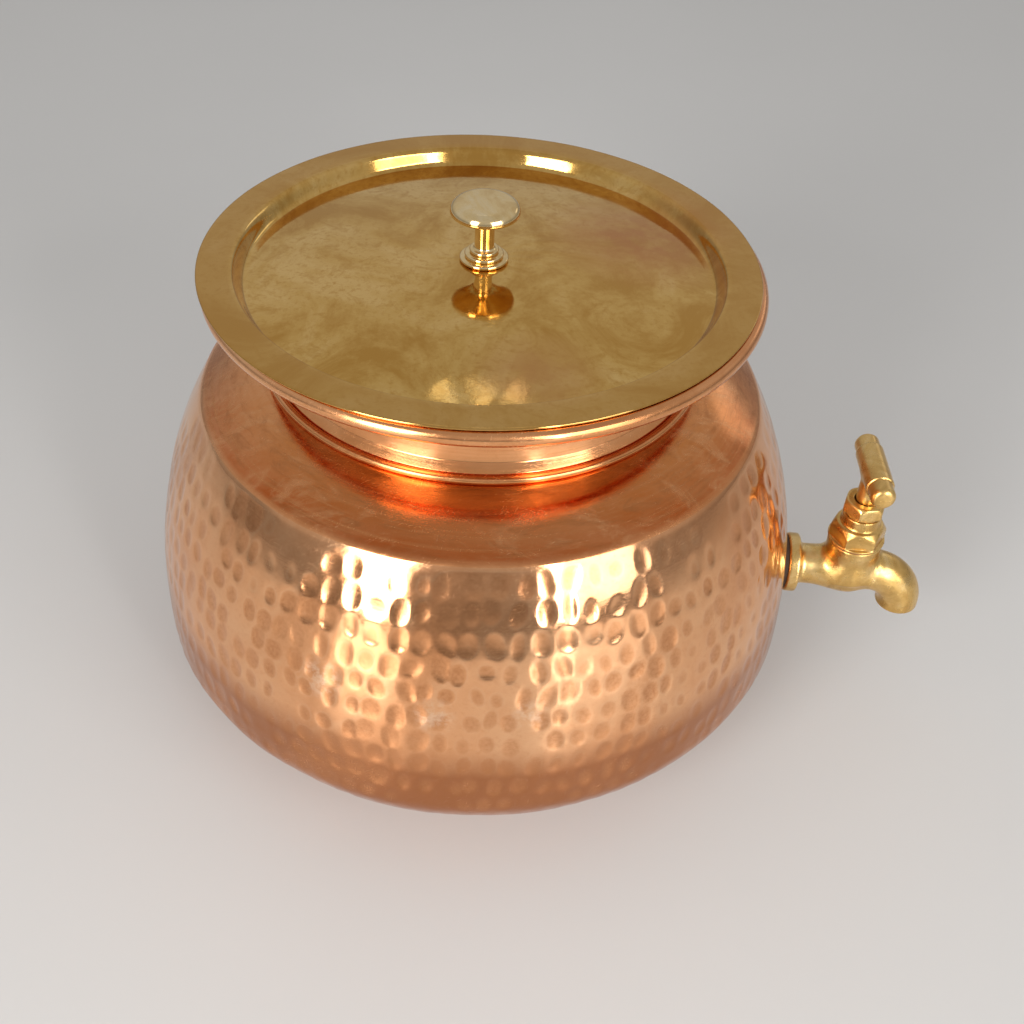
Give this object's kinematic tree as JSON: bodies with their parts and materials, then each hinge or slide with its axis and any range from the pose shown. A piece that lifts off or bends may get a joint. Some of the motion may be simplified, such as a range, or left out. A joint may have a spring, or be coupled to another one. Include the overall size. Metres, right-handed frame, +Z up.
{
  "type": "copper water dispenser",
  "caption": "Hammered copper water pot with a flared neck and rolled rim, a lift-off brass lid with a turned knob, and a screw-down brass bib tap with a T handle near its foot.",
  "frame": {"origin": "centre of the flat base, on the table", "axes": "+Z up along the pot's axis; the tap points along +X, turned 5 degrees towards -Y; the picture's camera looks roughly along +Y"},
  "size_m": [0.3685, 0.3, 0.2533],
  "materials": {
    "hammered_copper": "polished, hand-hammered copper",
    "spun_copper": "polished, spun copper",
    "lid_brass": "satin, lightly mottled",
    "knob_brass": "polished",
    "tap_brass": "satin to polished",
    "steel": "plain",
    "rubber": "matt black",
    "packing": "pressed fibre"
  },
  "bodies": {
    "pot": {"belly_bowl": "hammered_copper", "shoulder": "spun_copper", "neck_collar": "spun_copper", "rim_wire": "steel", "tap_body": "tap_brass", "outer_gasket": "rubber", "inner_gasket": "rubber", "back_washer": "steel", "back_nut": "tap_brass", "bonnet": "tap_brass", "bonnet_ring": "packing", "gland_packing": "packing", "gland_nut": "tap_brass"},
    "lid": {"lid": "lid_brass", "knob": "knob_brass", "knob_washer": "steel", "knob_screw": "steel"},
    "valve": {"jumper_valve": "tap_brass", "seat_washer": "rubber", "jumper_nut": "tap_brass"},
    "spindle": {"spindle_handle": "tap_brass"}
  },
  "joints": [
    {"name": "lid_lift", "type": "slide", "parent": "pot", "child": "lid", "axis": [0, 0, 1], "range_m": [0, 0.06]},
    {"name": "valve_lift", "type": "slide", "parent": "pot", "child": "valve", "axis": [0, 0, 1], "range_m": [0, 0.003]},
    {"name": "spindle_turn", "type": "hinge", "parent": "valve", "child": "spindle", "pos_m": [0.18059, -0.0158, 0.1], "axis": [0, 0, 1], "range_deg": [0, 540]}
  ],
  "couplings": [
    {"joint": "spindle_turn", "follows": "valve_lift", "rad_per_m": 3141.6}
  ]
}
